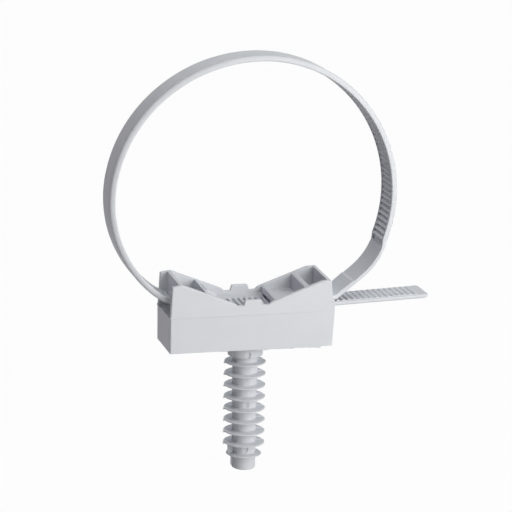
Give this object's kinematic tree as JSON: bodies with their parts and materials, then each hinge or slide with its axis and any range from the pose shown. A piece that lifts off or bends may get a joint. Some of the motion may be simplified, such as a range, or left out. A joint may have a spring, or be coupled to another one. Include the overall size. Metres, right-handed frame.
{
  "type": "conduit clip",
  "caption": "Push-in conduit clip moulded in one piece: saddle base, finned wall plug and a toothed strap that loops round the conduit and runs back through the base.",
  "frame": {"origin": "where the plug's axis meets the base's underside, which rests on the wall", "axes": "+Z away from the wall, up through the loop; +X along the base toward the strap's free tail; Y along the conduit"},
  "size_m": [0.0787, 0.0146, 0.1015],
  "materials": {
    "nylon": "satin light grey nylon"
  },
  "bodies": {
    "root": {"conduit_clip": "nylon"}
  },
  "joints": []
}
